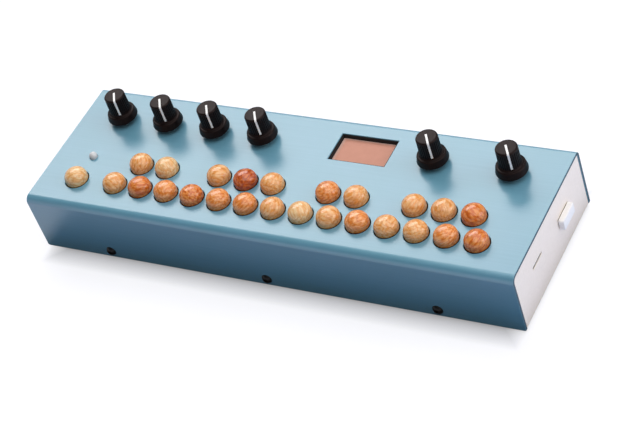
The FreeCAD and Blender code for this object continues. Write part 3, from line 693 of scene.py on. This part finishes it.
# %% Knobs
for node in knob_nodes:
    control = node[:-len("_knob")]
    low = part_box(node)[0]
    body = "select_control" if control == "select" else control + "_control"
    cap = lathe("fluted_" + node, knob_inside + dense(knob_outside, section_step),
                flute_count * points_per_flute, fluted)
    cap.location = (middle(node).x, middle(node).y, low.z)
    place_piece(cap, body, rubber, [node])
    strip = pointer_strip(control + "_pointer", pointer_line)
    strip.location = cap.matrix_world.translation
    place_piece(strip, body, paint)
print("knobs turned:", len(knob_nodes))

# %% [markdown]
# The display lies about 3 mm below the panel. A black foam frame lines the window, so that no light leaks
# in from the side. Over the glass lies the orange polariser film, which is what the eye sees while the
# display is off. The film is a thin plate, which gets paler over its last millimetre: a painted highlight
# along its edge.

# %% Display
film_size = (35.3, 19.8, 0.15)
edge_highlight_width = 1.2
film_broken_edge = 0.04
liner_sunk = 0.45
top_tolerance = 0.01


def film_colour(tree, height):
    place = add(tree, "ShaderNodeTexCoord").outputs["Generated"]
    offset = add(tree, "ShaderNodeVectorMath", {0: place, 1: (0.5, 0.5, 0.5)}, operation="SUBTRACT")
    spread = add(tree, "ShaderNodeVectorMath", {0: offset.outputs[0]}, operation="ABSOLUTE")
    sides = add(tree, "ShaderNodeSeparateXYZ", {0: spread.outputs[0]})
    nearest = add(tree, "ShaderNodeMath", {0: sides.outputs["X"], 1: sides.outputs["Y"]},
                  operation="MAXIMUM")
    film = tint(tree, height, linear("#CA907C"), linear("#D09682"))
    # The paler band along the film's edge is a painted highlight.
    return tint(tree, nearest.outputs[0], film, linear("#E2BEB0"),
                start=0.5 - edge_highlight_width / film_size[1], end=0.5)


film = start_material("orange_polariser_film", film_colour, lambda tree: grain(tree, (6, 6, 6)),
                      (0.4, 0.5), 0.004, Specular_IOR_Level=0.1)
foam = two_tone("die_cut_black_foam", "#0B0B0C", "#18181A", (0.5, 0.5, 0.5), (0.8, 0.95), 0.08)
glass_edge = two_tone("ground_display_glass", "#2A2F33", "#343A3F", (3, 3, 3), (0.2, 0.35), 0.004)

softened("display_module", "display_glass", 0.2, "chassis", glass_edge)
liner = softened("display_gasket", "display_frame", 0.08, "chassis", foam)
for corner in liner.data.vertices:
    if corner.co.z > panel_top - top_tolerance * mm:
        corner.co.z -= liner_sunk * mm


def plate(name, size, edge):
    """A thin plate with broken edges, its middle at the origin."""
    bm = bmesh.new()
    bmesh.ops.create_cube(bm, size=1.0)
    bmesh.ops.scale(bm, vec=Vector(size) * mm, verts=bm.verts)
    bmesh.ops.bevel(bm, geom=bm.edges[:], offset=edge * mm, segments=2, affect="EDGES")
    return to_piece(bm, name)


glass_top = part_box("display_module")[1].z
sheet = plate("display_film", film_size, film_broken_edge)
sheet.location = (middle("display_gasket").x, middle("display_gasket").y, glass_top + film_size[2] / 2 * mm)
place_piece(sheet, "chassis", film)
print("display film lies", round((panel_top - glass_top) / mm - film_size[2], 2), "mm below the panel")

# %% [markdown]
# The status light is a 5 mm lamp of milky epoxy. Off, it is a pale grey dome, smooth from its mould, so
# it gets a low roughness. It is turned on the lathe like the buttons.

# %% Status light
lens_radius = 2.5
lens_base_radius = 2.9
lens_base_height = 7.4
lens_rim_round = 0.2
lens_steps = 12
milky = two_tone("milky_epoxy_lens", "#D4D5D8", "#DEDFE2", (1.2, 1.2, 1.2), (0.12, 0.2), 0.002, IOR=1.5)
low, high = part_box("status_light")
lens_height = (high.z - low.z) / mm
stem_height = lens_height - lens_radius
lens_line = rounded_line([(0, 0, 0), (lens_base_radius, 0, lens_rim_round),
                          (lens_base_radius, lens_base_height, lens_rim_round),
                          (lens_radius, lens_base_height, 0)])
for step in range(lens_steps):
    climb = math.pi / 2 * step / lens_steps
    height = stem_height + lens_radius * math.sin(climb)
    lens_line.append(Vector((lens_radius * math.cos(climb), height)))
lens = lathe("milky_lens", lens_line + [Vector((0, lens_height))], segments=48)
lens.location = (middle("status_light").x, middle("status_light").y, low.z)
place_piece(lens, "chassis", milky, ["status_light"])
print("light stands", round((high.z - panel_top) / mm, 1), "mm above the panel")

# %% [markdown]
# Six button-head screws hold the cover to the tray. They are cold headed from steel and blackened in a
# hot oxide bath, so they are dark, with a soft gloss. The feet are moulded rubber, stuck on under the
# tray.

# %% Screws and feet
black_oxide = two_tone("black_oxide_steel", "#0C0C0E", "#141518", (0.7, 0.7, 0.7), (0.3, 0.42), 0.006,
                       Metallic=0.5)
foot_rubber = two_tone("moulded_foot_rubber", "#141414", "#1D1D1D", (0.9, 0.9, 0.9), (0.7, 0.85), 0.03)
softened("cover_screws", "button_head_screws", 0.12, "chassis", black_oxide)
softened("rubber_feet", "stick_on_feet", 0.15, "chassis", foot_rubber)
print("screws and feet dressed")

# %% [markdown]
# The drive is a small white moulding with a nickel-plated plug. The moulding and the plug are one solid
# in the construction, so the finish changes at the plug's root, just inside the end wall. The plug shows
# only when the drive is pulled out. A memory card of black resin sits flush in its slot.

# %% Drive and card
plug_root_inside = 0.2

white_resin = two_tone("moulded_white_abs", "#FAF6F3", "#FFFBF8", (0.9, 0.9, 0.9), (0.3, 0.4), 0.006)
black_resin = two_tone("moulded_black_abs", "#101012", "#1A1A1D", (0.8, 0.8, 0.8), (0.4, 0.52), 0.01)
nickel = two_tone("bright_nickel_plate", "#C9C6BE", "#D6D3CC", (0.8, 0.8, 3), (0.16, 0.26), 0.004,
                  Metallic=1.0)
drive = softened("usb_drive", "drive_shell", 0.1, "usb_drive", white_resin)
drive.data.materials.append(nickel)
for face in drive.data.polygons:
    face.material_index = int(face.center.x < cover_high.x - plug_root_inside * mm)
softened("memory_card", "card_shell", 0.08, "memory_card", black_resin)
print("drive and card dressed, plug faces:", sum(face.material_index for face in drive.data.polygons))

# %% [markdown]
# At the back, the sockets are black nylon with cut threads, held by nickel-plated nuts. The thread's
# pitch is 0.75 mm. Here it is only relief in the finish, because the nuts hide most of it.

# %% Back panel
thread_pitch = 0.75


def thread(tree):
    place = add(tree, "ShaderNodeTexCoord").outputs["Object"]
    return add(tree, "ShaderNodeTexWave", {"Vector": place, "Scale": wave_scale(thread_pitch)},
               wave_type="BANDS", bands_direction="Y").outputs["Fac"]


threaded = start_material("threaded_black_nylon",
                          lambda tree, height: tint(tree, height, linear("#0E0E10"), linear("#1B1B1E")),
                          thread, (0.38, 0.5), 0.12)
softened("rear_jacks", "jack_sockets", 0.15, "chassis", threaded)
softened("jack_nuts", "plated_nuts", 0.2, "chassis", nickel)
softened("power_inlet", "inlet_case", 0.15, "chassis", black_resin)
softened("power_button", "power_cap", 0.1, "power_button", black_resin)
softened("usb_ports", "socket_shells", 0.1, "chassis", nickel)
print("back panel dressed")

# %% [markdown]
# Inside, two boards of glass-fibre laminate carry the switches, the potentiometers and the computer.
# Green solder mask covers copper tracks, which show as paler, slightly raised lines. Real tracks are 0.2
# mm wide. They are drawn 0.5 mm wide here. The cases are zinc-plated steel, the spacers moulded nylon.

# %% Boards
track_cell = 3.5
track_period = 0.14
track_edge = (0.05, 0.09)


def tracks(tree):
    place = add(tree, "ShaderNodeTexCoord").outputs["Object"]
    cells = add(tree, "ShaderNodeTexVoronoi", {"Vector": place, "Scale": 1 / (track_cell * mm)},
                feature="F1", distance="MANHATTAN", voronoi_dimensions="2D")
    return add(tree, "ShaderNodeMath", {0: cells.outputs["Distance"], 1: track_period},
               operation="PINGPONG").outputs[0]


def masked_copper(tree, height):
    return tint(tree, height, linear("#0F4A2C"), linear("#2F7A4B"), *track_edge)


laminate = start_material("green_masked_laminate", masked_copper, tracks, (0.3, 0.4), 0.03)
for node in ("control_board", "compute_board"):
    dress(node, laminate)
print("boards dressed")

# %% Cases, shafts and spacers
zinc = two_tone("zinc_plated_steel", "#A9A9A6", "#B9B8B4", (1.5, 1.5, 1.5), (0.3, 0.42), 0.006,
                Metallic=1.0)
turned_steel = two_tone("turned_bright_steel", "#B5B4B0", "#C6C5C1", (8, 8, 0.3), (0.2, 0.32), 0.004,
                        Metallic=1.0)
nylon = two_tone("moulded_natural_nylon", "#D8D3C6", "#E2DED2", (1.2, 1.2, 1.2), (0.4, 0.5), 0.01)
switch_resin = two_tone("moulded_black_pbt", "#121214", "#1C1C1F", (0.6, 0.6, 0.6), (0.45, 0.58), 0.01)
for node in ("pot_bodies", "encoder_body", "card_socket"):
    dress(node, zinc)
for node in [name for name in nodes if name.endswith("_shaft")]:
    dress(node, turned_steel)
for node in ("board_spacers", "encoder_rotor"):
    dress(node, nylon)
dress("shaft_nuts", nickel)
dress("switch_bodies", switch_resin)
print("inner parts dressed")
